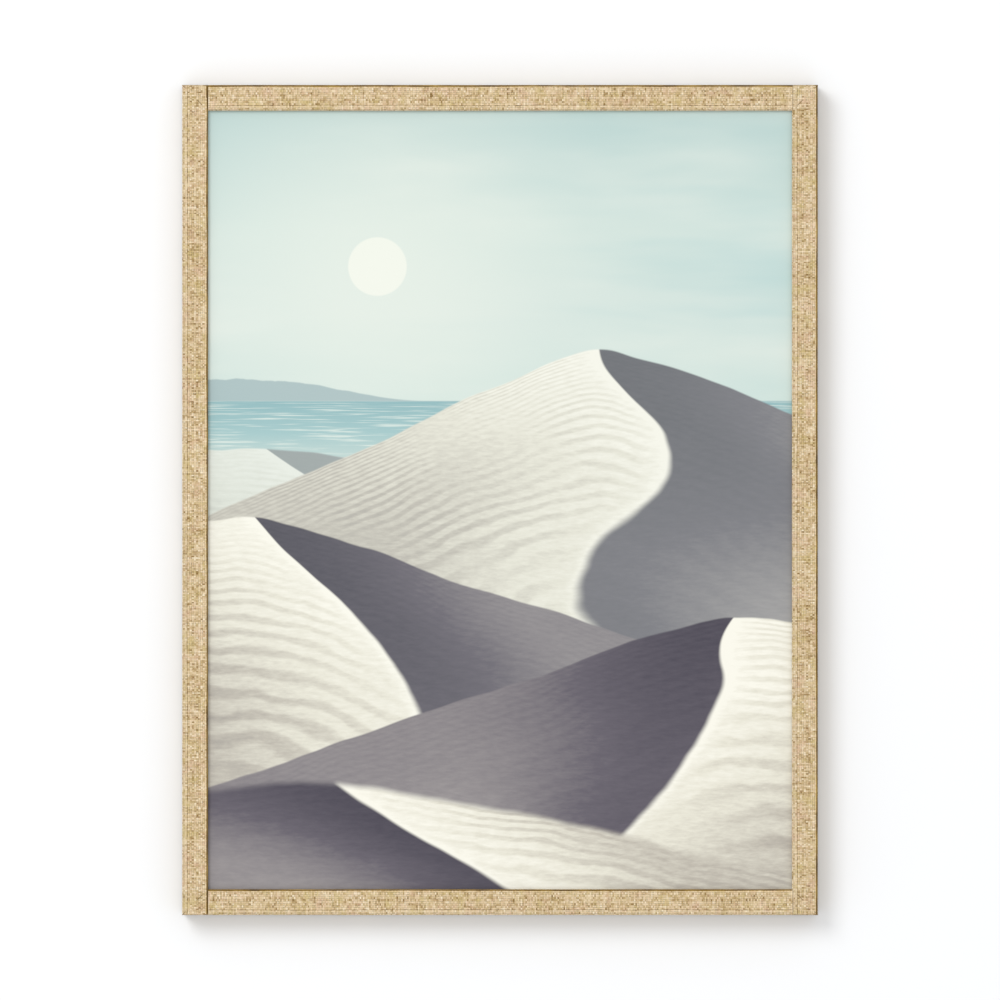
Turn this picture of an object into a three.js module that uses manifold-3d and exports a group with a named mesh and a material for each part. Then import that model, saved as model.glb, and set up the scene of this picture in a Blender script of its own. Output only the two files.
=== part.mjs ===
// A framed print for a wall: a cloth-covered wooden frame with shouldered butt joints, the print,
// its backing board, the steel points that hold the board in, a sawtooth hanger and two bumpers.
//
// Millimetres, +X right, +Z up, the picture faces -Y and the wall is the plane y = 0.
// The origin is where the wall's nail bears in the hanger's middle notch.

import * as THREE from "three";
import { mergeVertices } from "three/addons/utils/BufferGeometryUtils.js";
import Module from "manifold-3d";

// Driving dimensions
const SIGHT_WIDTH = 457.2; // the picture that shows, 18 by 24 inches
const SIGHT_HEIGHT = 609.6;
const FACE_WIDTH = 20.4; // the moulding seen from the front, cloth included
const DEPTH = 22; // the moulding from its face to its back
const WALL_GAP = 3; // from the moulding's back to the wall
const HOOK_HEIGHT = 313; // the hanger's middle notch above the picture's centre

// The moulding's section
const LIP_WIDTH = 5; // how far the lip reaches over the print
const LIP_DEPTH = 3.6; // from the face to the back of the lip
const ARRIS_RADIUS = 1.5; // the rounding of the covered edges
const ARC_STEPS = 5;

// The cloth and the gaps between neighbours
const CLOTH = 0.9;
const GLUE_LINE = 0.2;
const JOINT_GAP = 0.15;
const INSET = CLOTH + GLUE_LINE; // from the covered surface to the wood

// The sheets in the rebate
const SHEET_CLEARANCE = 0.6; // on each edge
const PRINT_THICKNESS = 0.5;
const BOARD_THICKNESS = 3;
const SHEET_GAP = 0.2;

// The retaining points
const POINT = { width: 7, shown: 10, driven: 6, tip: 3, thickness: 0.6, fit: 0.15 };
const POINTS_PER_STILE = 3;
const POINTS_PER_RAIL = 2;

// The hanger and its nails
const HANGER = { width: 64, height: 12, thickness: 1, raise: 1.5, corner: 3 };
const HANGER_RAISED_WIDTH = 36;
const HANGER_JOGGLE = 2; // how far along the plate its step runs
const NOTCH = { count: 9, pitch: 3.6, depth: 2 };
const NAIL = { x: 26, headRadius: 2.4, headHeight: 1.1, shankRadius: 0.8, length: 9, point: 2 };
const NAIL_HOLE_RADIUS = 1;
const ROUND_SEGMENTS = 24;

// The bumpers
const BUMPER = { radius: 5, flatRadius: 3.8, shoulder: 1.8 };
const BUMPER_INSET = 10; // of its middle from the frame's outer edges

// Worked out from those
const STILE_LENGTH = SIGHT_HEIGHT + 2 * FACE_WIDTH;
const RAIL_LENGTH = SIGHT_WIDTH - 2 * JOINT_GAP;
const POCKET_WIDTH = SIGHT_WIDTH + 2 * LIP_WIDTH;
const POCKET_HEIGHT = SIGHT_HEIGHT + 2 * LIP_WIDTH;
const PRINT_FRONT = LIP_DEPTH + SHEET_GAP;
const BOARD_FRONT = PRINT_FRONT + PRINT_THICKNESS + SHEET_GAP;
const POINT_FRONT = BOARD_FRONT + BOARD_THICKNESS + SHEET_GAP;
const HANGER_FOOT = HOOK_HEIGHT - NOTCH.depth; // the hanger's lower edge above the picture's centre
const HANGER_MIDDLE = HANGER_FOOT + HANGER.height / 2;

const wasm = await Module();
wasm.setup();

const finishes = {
  linen: new THREE.MeshStandardMaterial({ color: 0xd2bb94, roughness: 0.95 }),
  wood: new THREE.MeshStandardMaterial({ color: 0xc9a878, roughness: 0.8 }),
  print: new THREE.MeshStandardMaterial({ color: 0xc3d8d2, roughness: 0.6 }),
  board: new THREE.MeshStandardMaterial({ color: 0x8a6546, roughness: 0.85 }),
  steel: new THREE.MeshStandardMaterial({ color: 0xb9bcc0, roughness: 0.4, metalness: 1 }),
  rubber: new THREE.MeshStandardMaterial({ color: 0x2b2a29, roughness: 0.8 }),
};

// A closed three.js geometry as a solid that can be joined and cut.
function solid(geometry) {
  const bare = new THREE.BufferGeometry();
  const points = geometry.index ? geometry.toNonIndexed() : geometry;
  bare.setAttribute("position", points.getAttribute("position"));
  const merged = mergeVertices(bare, 1e-4);
  return new wasm.Manifold(
    new wasm.Mesh({
      numProp: 3,
      vertProperties: merged.getAttribute("position").array,
      triVerts: new Uint32Array(merged.index.array),
    }),
  );
}

// A solid as a named mesh with flat faces.
function piece(name, body, finish) {
  const { vertProperties, triVerts } = body.getMesh();
  const geometry = new THREE.BufferGeometry();
  geometry.setAttribute("position", new THREE.BufferAttribute(vertProperties, 3));
  geometry.setIndex(new THREE.BufferAttribute(triVerts, 1));
  const flat = geometry.toNonIndexed();
  flat.computeVertexNormals();
  const mesh = new THREE.Mesh(flat, finish);
  mesh.name = name;
  return mesh;
}

// A box between two corners.
function block(low, high) {
  const size = high.map((value, i) => value - low[i]);
  const middle = high.map((value, i) => (value + low[i]) / 2);
  return solid(new THREE.BoxGeometry(...size).translate(...middle));
}

// An outline drawn across the length, carried along z and centred on z = 0.
function carried(outline, length) {
  const options = { depth: length, bevelEnabled: false, curveSegments: ARC_STEPS };
  return solid(new THREE.ExtrudeGeometry(outline, options).translate(0, 0, -length / 2));
}

// An outline drawn in the x and z directions, given its thickness along y from the plane y = front.
function plate(outline, front, thickness) {
  const options = { depth: thickness, bevelEnabled: false, curveSegments: ARC_STEPS };
  const geometry = new THREE.ExtrudeGeometry(outline, options).rotateX(Math.PI / 2);
  return solid(geometry.translate(0, front + thickness, 0));
}

// A round bar along y.
function bar(radius, low, high) {
  const geometry = new THREE.CylinderGeometry(radius, radius, high - low, ROUND_SEGMENTS);
  return solid(geometry.translate(0, (low + high) / 2, 0));
}

// The moulding is drawn with x from its sight edge to its outer edge and y from its face to its back.

// The wood's section: set back under the cloth, full behind the lip, where nothing covers it.
function woodSection() {
  const radius = ARRIS_RADIUS - INSET;
  const outer = FACE_WIDTH - INSET;
  const ledge = LIP_DEPTH + GLUE_LINE;
  const outline = new THREE.Shape();
  outline.moveTo(INSET, ledge);
  outline.lineTo(INSET, INSET + radius);
  outline.absarc(INSET + radius, INSET + radius, radius, Math.PI, 1.5 * Math.PI, false);
  outline.absarc(outer - radius, INSET + radius, radius, 1.5 * Math.PI, 2 * Math.PI, false);
  outline.lineTo(outer, DEPTH);
  outline.lineTo(0, DEPTH);
  outline.lineTo(0, ledge);
  return outline;
}

// The cloth's section: one strip over the lip's edge, the face and the outer side.
function clothSection() {
  const inner = ARRIS_RADIUS - CLOTH;
  const right = FACE_WIDTH - ARRIS_RADIUS;
  const outline = new THREE.Shape();
  outline.moveTo(0, LIP_DEPTH - SHEET_GAP);
  outline.absarc(ARRIS_RADIUS, ARRIS_RADIUS, ARRIS_RADIUS, Math.PI, 1.5 * Math.PI, false);
  outline.absarc(right, ARRIS_RADIUS, ARRIS_RADIUS, 1.5 * Math.PI, 2 * Math.PI, false);
  outline.lineTo(FACE_WIDTH, DEPTH);
  outline.lineTo(FACE_WIDTH - CLOTH, DEPTH);
  outline.absarc(right, ARRIS_RADIUS, inner, 2 * Math.PI, 1.5 * Math.PI, true);
  outline.absarc(ARRIS_RADIUS, ARRIS_RADIUS, inner, 1.5 * Math.PI, Math.PI, true);
  outline.lineTo(CLOTH, LIP_DEPTH - SHEET_GAP);
  return outline;
}

// The whole covered section, for the flaps of cloth folded over a stile's ends.
function flapSection() {
  const right = FACE_WIDTH - ARRIS_RADIUS;
  const outline = new THREE.Shape();
  outline.moveTo(0, DEPTH);
  outline.absarc(ARRIS_RADIUS, ARRIS_RADIUS, ARRIS_RADIUS, Math.PI, 1.5 * Math.PI, false);
  outline.absarc(right, ARRIS_RADIUS, ARRIS_RADIUS, 1.5 * Math.PI, 2 * Math.PI, false);
  outline.lineTo(FACE_WIDTH, DEPTH);
  return outline;
}

// Where the points stand along a member, evenly spread.
function pointPlaces(count, length) {
  return Array.from({ length: count }, (_, i) => ((i + 0.5) / count - 0.5) * length);
}

// A steel point: a tongue with a round end over the board, and a tip driven into the rebate's wall.
function pointOutline(grow) {
  const half = POINT.width / 2 + grow;
  const driven = LIP_WIDTH + POINT.driven + grow;
  const round = LIP_WIDTH - POINT.shown + half;
  const outline = new THREE.Shape();
  outline.absarc(round, 0, half, 0.5 * Math.PI, 1.5 * Math.PI, false);
  outline.lineTo(driven - POINT.tip, -half);
  outline.lineTo(driven, 0);
  outline.lineTo(driven - POINT.tip, half);
  return outline;
}

// A member's wood: the section along its length, less the rebate and the slots that the points sit in.
function memberWood(length, rebateLength, places) {
  const rebate = block([-1, LIP_DEPTH, -rebateLength / 2], [LIP_WIDTH, DEPTH + 1, rebateLength / 2]);
  const slot = plate(pointOutline(POINT.fit), POINT_FRONT - POINT.fit, POINT.thickness + 2 * POINT.fit);
  const rebated = carried(woodSection(), length).subtract(rebate);
  return places.reduce((body, z) => body.subtract(slot.translate([0, 0, z])), rebated);
}

// The cloth on a stile is folded over both its ends.
function stileCloth() {
  const flap = carried(flapSection(), CLOTH);
  const reach = (STILE_LENGTH - CLOTH) / 2;
  return [-reach, reach].reduce(
    (body, z) => body.add(flap.translate([0, 0, z])),
    carried(clothSection(), STILE_LENGTH),
  );
}

// One side of the frame, turned about y into its place: wood, cloth and points.
function side(name, turn, place, wood, cloth, places) {
  const group = new THREE.Group();
  group.rotation.y = turn;
  group.position.set(...place);
  group.add(piece(name, wood, finishes.wood), piece(`${name}_linen`, cloth, finishes.linen));
  const tongue = plate(pointOutline(0), POINT_FRONT, POINT.thickness);
  places.forEach((z, i) => {
    const point = piece(`${name}_point_${i + 1}`, tongue, finishes.steel);
    point.position.z = z;
    group.add(point);
  });
  return group;
}

function stile(name, turn, x) {
  const places = pointPlaces(POINTS_PER_STILE, SIGHT_HEIGHT);
  const wood = memberWood(STILE_LENGTH - 2 * INSET, POCKET_HEIGHT, places);
  return side(name, turn, [x, 0, 0], wood, stileCloth(), places);
}

function rail(name, turn, z, drill) {
  const places = pointPlaces(POINTS_PER_RAIL, SIGHT_WIDTH);
  const wood = drill(memberWood(RAIL_LENGTH, RAIL_LENGTH + 2, places));
  return side(name, turn, [0, 0, z], wood, carried(clothSection(), RAIL_LENGTH), places);
}

// Pilot holes for the hanger's nails, in the top rail's own frame.
function drillForNails(wood) {
  const across = HANGER_MIDDLE - SIGHT_HEIGHT / 2;
  const hole = bar(NAIL_HOLE_RADIUS, DEPTH - NAIL.length, DEPTH + 1);
  return [-NAIL.x, NAIL.x].reduce((body, z) => body.subtract(hole.translate([across, 0, z])), wood);
}

// A sheet in the rebate, centred on the picture.
function sheet(name, front, thickness, finish) {
  const x = POCKET_WIDTH / 2 - SHEET_CLEARANCE;
  const z = POCKET_HEIGHT / 2 - SHEET_CLEARANCE;
  return piece(name, block([-x, front, -z], [x, front + thickness, z]), finish);
}

// The hanger's outline from behind: rounded ears, and notches along the lower edge between them.
function hangerOutline() {
  const x = HANGER.width / 2 - HANGER.corner;
  const toothed = (NOTCH.count * NOTCH.pitch) / 2;
  const outline = new THREE.Shape();
  outline.moveTo(-toothed, 0);
  for (let i = 0; i < NOTCH.count; i++) {
    outline.lineTo(-toothed + (i + 0.5) * NOTCH.pitch, NOTCH.depth);
    outline.lineTo(-toothed + (i + 1) * NOTCH.pitch, 0);
  }
  outline.absarc(x, HANGER.corner, HANGER.corner, 1.5 * Math.PI, 2 * Math.PI, false);
  outline.absarc(x, HANGER.height - HANGER.corner, HANGER.corner, 0, 0.5 * Math.PI, false);
  outline.absarc(-x, HANGER.height - HANGER.corner, HANGER.corner, 0.5 * Math.PI, Math.PI, false);
  outline.absarc(-x, HANGER.corner, HANGER.corner, Math.PI, 1.5 * Math.PI, false);
  return outline;
}

// The hanger's bend from above: flat ears on the wood, and the middle raised towards the wall.
function hangerBend() {
  const end = HANGER.width / 2;
  const raised = HANGER_RAISED_WIDTH / 2;
  const foot = raised + HANGER_JOGGLE;
  const { thickness, raise } = HANGER;
  const near = [[-end, 0], [-foot, 0], [-raised, raise], [raised, raise], [foot, 0], [end, 0]];
  const far = near.map(([x, y]) => [x, y + thickness]).reverse();
  return new THREE.Shape([...near, ...far].map(([x, y]) => new THREE.Vector2(x, y)));
}

function hanger() {
  const bent = carried(hangerBend(), HANGER.height).translate([0, 0, HANGER.height / 2]);
  const outline = plate(hangerOutline(), -1, HANGER.thickness + HANGER.raise + 2);
  const hole = bar(NAIL_HOLE_RADIUS, -1, HANGER.thickness + 1).translate([0, 0, HANGER.height / 2]);
  const body = [-NAIL.x, NAIL.x].reduce(
    (left, x) => left.subtract(hole.translate([x, 0, 0])),
    bent.intersect(outline),
  );
  const mesh = piece("hanger", body, finishes.steel);
  mesh.position.set(0, DEPTH + SHEET_GAP, HANGER_FOOT);
  return mesh;
}

// A nail with a domed head, its head on the hanger's ear and its shank in the rail.
function nail(name, x) {
  const { headRadius, headHeight, shankRadius, length, point } = NAIL;
  const tip = -length + SHEET_GAP + HANGER.thickness;
  const dome = Array.from({ length: ARC_STEPS }, (_, i) => {
    const angle = (i / ARC_STEPS) * 0.5 * Math.PI;
    return [headRadius * Math.cos(angle), headHeight * Math.sin(angle)];
  });
  const profile = [[0, tip], [shankRadius, tip + point], [shankRadius, 0], ...dome, [0, headHeight]];
  const points = profile.map(([r, y]) => new THREE.Vector2(r, y));
  const mesh = piece(name, solid(new THREE.LatheGeometry(points, ROUND_SEGMENTS)), finishes.steel);
  mesh.position.set(x, DEPTH + HANGER.thickness + 2 * SHEET_GAP, HANGER_MIDDLE);
  return mesh;
}

// A bumper: a soft disc with a flat end against the wall.
function bumper(name, x) {
  const { radius, flatRadius, shoulder } = BUMPER;
  const height = WALL_GAP - JOINT_GAP;
  const profile = [[0, 0], [radius, 0], [radius, shoulder], [flatRadius, height], [0, height]];
  const points = profile.map(([r, y]) => new THREE.Vector2(r, y));
  const mesh = piece(name, solid(new THREE.LatheGeometry(points, ROUND_SEGMENTS)), finishes.rubber);
  mesh.position.set(x, DEPTH + JOINT_GAP, -(STILE_LENGTH / 2 - BUMPER_INSET));
  return mesh;
}

const framedPrint = new THREE.Group();
framedPrint.position.set(0, -(DEPTH + WALL_GAP), -HOOK_HEIGHT);
framedPrint.add(
  stile("right_stile", 0, SIGHT_WIDTH / 2),
  stile("left_stile", Math.PI, -SIGHT_WIDTH / 2),
  rail("top_rail", -Math.PI / 2, SIGHT_HEIGHT / 2, drillForNails),
  rail("bottom_rail", Math.PI / 2, -SIGHT_HEIGHT / 2, (wood) => wood),
  sheet("print", PRINT_FRONT, PRINT_THICKNESS, finishes.print),
  sheet("backing_board", BOARD_FRONT, BOARD_THICKNESS, finishes.board),
  hanger(),
  nail("hanger_nail_left", -NAIL.x),
  nail("hanger_nail_right", NAIL.x),
  bumper("bumper_left", -(SIGHT_WIDTH / 2 + FACE_WIDTH - BUMPER_INSET)),
  bumper("bumper_right", SIGHT_WIDTH / 2 + FACE_WIDTH - BUMPER_INSET),
);

export default framedPrint;
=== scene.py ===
# %% [markdown]
# # A framed print, dressed for the camera
#
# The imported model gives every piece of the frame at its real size: four wooden members, the cloth on
# them, the print, its board and the hardware behind. This lesson keeps those places and adds the looks:
# cloth that is really woven, a picture drawn by a formula, bare pine, hardboard, zinc and rubber.
# Everything is in metres, with +Z up, the picture facing -Y and the wall at y = 0.

# %% Load the frame
import math

import bpy
import numpy as np
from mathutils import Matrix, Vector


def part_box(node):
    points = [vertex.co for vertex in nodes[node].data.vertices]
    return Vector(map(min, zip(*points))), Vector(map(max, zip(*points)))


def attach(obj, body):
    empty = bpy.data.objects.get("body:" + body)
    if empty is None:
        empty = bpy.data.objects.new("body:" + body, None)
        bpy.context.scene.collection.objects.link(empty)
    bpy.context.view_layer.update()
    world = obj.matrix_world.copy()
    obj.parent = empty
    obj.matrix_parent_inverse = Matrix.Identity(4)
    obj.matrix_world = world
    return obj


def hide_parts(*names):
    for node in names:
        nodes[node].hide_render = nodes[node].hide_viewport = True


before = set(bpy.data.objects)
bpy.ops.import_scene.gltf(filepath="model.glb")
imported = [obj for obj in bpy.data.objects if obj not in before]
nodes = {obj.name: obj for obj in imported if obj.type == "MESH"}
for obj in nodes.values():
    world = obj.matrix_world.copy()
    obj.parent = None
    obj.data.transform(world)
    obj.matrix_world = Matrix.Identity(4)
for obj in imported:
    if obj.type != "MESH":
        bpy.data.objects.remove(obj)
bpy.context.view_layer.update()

# %% [markdown]
# ## Sizes, read from the frame
#
# A size that the model already holds is read from a node's box, so that nothing has to be fitted later.
# The opening that shows the picture lies between the inner edges of the two stiles' cloth and of the two
# rails' cloth. Only what a box can't tell, such as the rounding of an edge, is written down here.

# %% Sizes
left_low, left_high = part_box("left_stile_linen")
right_low, right_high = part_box("right_stile_linen")
top_low, top_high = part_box("top_rail_linen")
bottom_low, bottom_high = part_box("bottom_rail_linen")
print_low, print_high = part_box("print")

SIGHT_WIDTH = right_low.x - left_high.x
SIGHT_HEIGHT = top_low.z - bottom_high.z
CENTRE_Z = (top_low.z + bottom_high.z) / 2
FACE_WIDTH = right_high.x - right_low.x
FRONT_Y = right_low.y
DEPTH = right_high.y - right_low.y
STILE_LENGTH = right_high.z - right_low.z
RAIL_LENGTH = top_high.x - top_low.x
PRINT_GAP = 0.0004  # the cloth stops just short of the print
LIP_DEPTH = print_low.y - FRONT_Y - PRINT_GAP
ARRIS_RADIUS = 0.0015
CLOTH_THICKNESS = 0.0009
print("the picture shows", round(SIGHT_WIDTH, 4), "by", round(SIGHT_HEIGHT, 4))

# %% [markdown]
# ## Camera
#
# The photograph looks at the picture straight on and shows none of the frame's sides, so the camera is
# far away with a long lens. The face of the frame is 636 pixels wide in an image of 1000, which gives the
# width of the view at that distance, and the lens follows from it.

# %% Camera
IMAGE_WIDTH_PX = 1000
FRAME_WIDTH_PX = 636
CAMERA_DISTANCE = 6.0

camera_data = bpy.data.cameras.new("camera")
view_width = (SIGHT_WIDTH + 2 * FACE_WIDTH) * IMAGE_WIDTH_PX / FRAME_WIDTH_PX
camera_data.lens = camera_data.sensor_width * CAMERA_DISTANCE / view_width
camera_data.clip_end = 40
camera = bpy.data.objects.new("camera", camera_data)
camera.location = (0, FRONT_Y - CAMERA_DISTANCE, CENTRE_Z)
camera.rotation_euler = (math.pi / 2, 0, 0)
bpy.context.scene.collection.objects.link(camera)
bpy.context.scene.camera = camera
print("lens", round(camera_data.lens), "mm")

# %% [markdown]
# ## The path of the cloth across a member
#
# Each member is wrapped by one strip of cloth. It starts at the back of the lip, turns over the inner
# arris, crosses the face, turns over the outer arris and ends at the back of the outer side. Seen along
# the member this is a line with two quarter circles in it. The direction that the surface faces turns by
# a right angle at each arris, and the point is the middle line of the section plus one radius that way.

# %% Path across a member
LIP_END = LIP_DEPTH - ARRIS_RADIUS
ARC = ARRIS_RADIUS * math.pi / 2
FACE_START = LIP_END + ARC
FLAT_FACE = FACE_WIDTH - 2 * ARRIS_RADIUS
FACE_MIDDLE = FACE_START + FLAT_FACE / 2
FACE_END = FACE_START + FLAT_FACE
SIDE_START = FACE_END + ARC
GIRTH = SIDE_START + DEPTH - ARRIS_RADIUS


def wrap(s):
    """The point (across, depth) at length s along the path, and the way that the surface faces there.

    The facing angle is half a turn on the lip, plus a quarter turn over each arris. The point is the
    middle line, which moves only on the straight stretches, plus ARRIS_RADIUS in the facing direction.
    """
    turn = np.clip((s - LIP_END) / ARC, 0, 1) + np.clip((s - FACE_END) / ARC, 0, 1)
    facing_angle = math.pi + turn * math.pi / 2
    facing = np.stack([np.cos(facing_angle), np.sin(facing_angle)], axis=-1)
    across = ARRIS_RADIUS + np.clip(s - FACE_START, 0, FLAT_FACE)
    depth = ARRIS_RADIUS + np.maximum(LIP_END - s, 0) + np.maximum(s - SIDE_START, 0)
    return np.stack([across, depth], axis=-1) + ARRIS_RADIUS * facing, facing


print("the cloth goes", round(GIRTH * 1000, 1), "mm round a member")

# %% [markdown]
# ## Uneven threads
#
# Linen yarn is spun thick and thin, and its threads wander. Both need a smooth random number that belongs
# to a place. A table of random numbers on whole-number points, joined by smooth curves, gives one, and a
# fixed seed makes it the same in each run.

# %% Smooth random numbers
NOISE_TABLE = 128


def smooth_noise(x, y, seed):
    """Random numbers from -1 to 1 on the plane's whole-number points, with smoothstep curves between."""
    table = np.random.default_rng(seed).uniform(-1, 1, (NOISE_TABLE, NOISE_TABLE))
    column, row = np.floor(x).astype(int), np.floor(y).astype(int)
    fx, fy = x - column, y - row
    fx, fy = fx * fx * (3 - 2 * fx), fy * fy * (3 - 2 * fy)

    def corner(i, j):
        return table[(column + i) % NOISE_TABLE, (row + j) % NOISE_TABLE]

    near = corner(0, 0) * (1 - fx) + corner(1, 0) * fx
    far = corner(0, 1) * (1 - fx) + corner(1, 1) * fx
    return near * (1 - fy) + far * fy


print("between two points", np.round(smooth_noise(np.linspace(0, 1, 5), np.zeros(5), 1), 2))

# %% [markdown]
# ## The weave
#
# In a plain weave every thread goes over one crossing thread and under the next. A bump map could shade
# that, but it would leave the edges of the frame as straight as a ruler, so the threads here are real
# relief. The warp runs along the strip, and the finer weft across it. The grid has three lines to a warp
# thread, its crest and its two flanks, and two to a weft thread, its crest and the gap. Each thread's
# height is its round crown plus a wave that lifts it at every other crossing, and the cloth is whichever
# thread is higher. One gap between two warp threads runs wide along the whole strip, as a missing dent in
# the loom's reed leaves it.

# %% Weave
WARP_PITCH, WEFT_PITCH = 0.0017, 0.0012
WARP_LINES, WEFT_LINES = 3, 2
WARP_RADIUS, WEFT_RADIUS = 0.0003, 0.00027
WARP_UNEVEN, WEFT_UNEVEN = 0.35, 0.45  # of a thread's radius
THREAD_BOW = 0.00016
WANDER = 0.2  # of a thread's width
REED_GAP = -3.5  # in warp threads from the middle of the face
REED_OPENING = 0.06
REED_REACH = 1.6  # threads, over which the neighbours of the gap fall back into place
RELIEF = WARP_RADIUS + THREAD_BOW


def weave_height(u, v, seed):
    """Height of the cloth below its highest crests, in metres, with u and v counted in threads.

    A warp thread's height is radius * cos(pi * its offset across) + bow * cos(pi * (its number + v)). A
    weft thread has the same with u and v exchanged and the bow turned over. The cloth is the larger one.
    """
    warp, weft = np.rint(u), np.rint(v)
    warp_radius = WARP_RADIUS * (1 + WARP_UNEVEN * smooth_noise(warp * 1.7, v / 20, seed))
    weft_radius = WEFT_RADIUS * (1 + WEFT_UNEVEN * smooth_noise(u / 9, weft * 1.7, seed + 1))
    over = warp_radius * np.cos(np.pi * (u - warp)) + THREAD_BOW * np.cos(np.pi * (warp + v))
    under = weft_radius * np.cos(np.pi * (v - weft)) - THREAD_BOW * np.cos(np.pi * (weft + u))
    return np.minimum(np.maximum(over, under), RELIEF) - RELIEF


def wander(u, v, seed):
    """How far a thread lies from its even place, in threads: a slow wave along it, and the reed's gap."""
    drift = WANDER * smooth_noise(u * 0.9, v / 28, seed)
    gap = REED_OPENING * np.sign(u - REED_GAP) * np.exp(-np.abs(u - REED_GAP) / REED_REACH)
    return drift + gap


def thread_lines(low, high, pitch, lines):
    """The grid lines from low to high, in metres, counted in threads, with one on each edge."""
    low, high = low / pitch, high / pitch
    inside = np.arange(math.floor(low * lines) + 1, math.ceil(high * lines)) / lines
    return np.concatenate([[low], inside, [high]])


print("the highest crests are", round(RELIEF * 1000, 2), "mm above the middle of the cloth")

# %% [markdown]
# ## A strip with two sides
#
# Seen from behind, the cloth's cut edge shows, so a strip is a closed band: the woven outside, and a plain
# inside one thickness below it, joined at both edges. A row of the outside needs some eighty points and the
# inside only six, which keeps the piece light. Each row of points runs once round the band, and the ends
# are closed by one polygon each.

# %% Closed bands


def closed_rings(rings):
    """Faces over rings of points, one ring to a row: quads between neighbours, and both ends filled."""
    rows, columns = rings.shape[:2]
    number = np.arange(rows * columns).reshape(rows, columns)
    beside = np.roll(number, -1, axis=1)
    quads = np.stack([number[:-1], beside[:-1], beside[1:], number[1:]], axis=-1).reshape(-1, 4)
    return quads.tolist() + [number[0, ::-1].tolist(), number[-1].tolist()]


def band(outside, inside, uv):
    """Vertices, faces and thread coordinates of a closed band.

    outside and inside are grids of points, rows along the strip and columns across it, and inside runs
    back the other way. Each row is one ring: the outside's columns, then the inside's.
    """
    rings = np.concatenate([outside, inside], axis=1)
    inside_uv = np.repeat(uv[:, -1:], inside.shape[1], axis=1)
    ring_uv = np.concatenate([uv, inside_uv], axis=1)
    return rings.reshape(-1, 3), closed_rings(rings), ring_uv.reshape(-1, 2)


def mesh_object(name, points, faces, uv=None):
    """A smooth mesh object at the origin, with the thread coordinates as its UV map."""
    mesh = bpy.data.meshes.new(name)
    mesh.from_pydata(points, [], faces)
    mesh.polygons.foreach_set("use_smooth", np.ones(len(mesh.polygons), bool))
    if uv is not None:
        corner_vertex = np.empty(len(mesh.loops), np.int32)
        mesh.loops.foreach_get("vertex_index", corner_vertex)
        layer = mesh.uv_layers.new(name="threads")
        layer.data.foreach_set("uv", uv[corner_vertex].astype(np.float32).ravel())
    mesh.update()
    made = bpy.data.objects.new(name, mesh)
    bpy.context.scene.collection.objects.link(made)
    return made


print("3 rings of 4 points have", len(closed_rings(np.zeros((3, 4, 3)))), "faces")

# %% [markdown]
# ## Cloth for one member
#
# The strip is woven flat, as a grid counted in threads, and then laid along the path. On two of the members
# the strip is turned end for end, so that its dark edge lies on the inner arris and not on the outer one:
# the thread number is then counted the other way. A stile's cloth is also folded over both its ends, which
# is a second, short band across each end.

# %% The flat weave
EDGE_FADE = 2.0  # threads, over which the wander dies out towards a cut edge


def fade(value, low, high):
    """0 at low and at high, and 1 from EDGE_FADE inside them."""
    return np.clip(np.minimum(value - low, high - value) / EDGE_FADE, 0, 1)


def woven_grid(low, high, length, turned, seed):
    """The strip flat: lengths across and along it, its depth below the crests, and its thread numbers."""
    across = thread_lines(low, high, WARP_PITCH, WARP_LINES)
    along = thread_lines(-length / 2, length / 2, WEFT_PITCH, WEFT_LINES)
    u, v = np.meshgrid(across, along)
    counted = -u if turned else u
    side_fade = fade(u, across[0], across[-1])
    end_fade = fade(v, along[0], along[-1])
    direction = -1 if turned else 1
    s = (u + direction * side_fade * wander(counted, v, seed)) * WARP_PITCH
    t = (v + end_fade * WANDER * smooth_noise(u / 12, v * 0.9, seed + 2)) * WEFT_PITCH
    return s, t, weave_height(counted, v, seed + 3), np.stack([counted, v], axis=-1)


print(round(GIRTH / WARP_PITCH), "warp threads lie side by side in a strip")

# %% The strip along a member
LAP = 0.0007
LAP_START = 0.0017  # before the end of the strip


def strip(length, turned, lapped, seed):
    """The cloth along a member as a band, in the member's own (across, depth, along) frame.

    At its lapped end, -1 or 1, the last threads on the face reach up to LAP further, over the arris that
    they meet. An end of 0 is none. The inside has only the ends of the path's straight stretches.
    """
    s, t, height, uv = woven_grid(-FACE_MIDDLE, GIRTH - FACE_MIDDLE, length, turned, seed)
    s = s + FACE_MIDDLE
    point, facing = wrap(s)
    on_face = np.clip((s - LIP_END) / ARC, 0, 1) - np.clip((s - FACE_END) / ARC, 0, 1)
    near_end = np.clip((t * lapped - length / 2) / LAP_START + 1, 0, 1)
    reach = t + lapped * LAP * on_face * near_end
    outside = np.concatenate([point + height[..., None] * facing, reach[..., None]], axis=-1)
    back_point, back_facing = wrap(np.array([GIRTH, SIDE_START, FACE_END, FACE_START, LIP_END, 0]))
    inside = np.empty((len(t), len(back_point), 3))
    inside[..., :2] = back_point - CLOTH_THICKNESS * back_facing
    inside[..., 2] = t[:, :1]
    return band(outside, inside, uv)


print("at a lapped end the face reaches", round(LAP * 1000, 1), "mm further")

# %% The flap over a stile's end
GLUE = 0.0001


def rounding(depth, radius):
    """How far a quarter circle falls back at a depth below its edge: radius - sqrt(radius^2 - rest^2)."""
    rest = radius - np.clip(depth, 0, radius)
    return radius - np.sqrt(radius**2 - rest**2)


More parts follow.
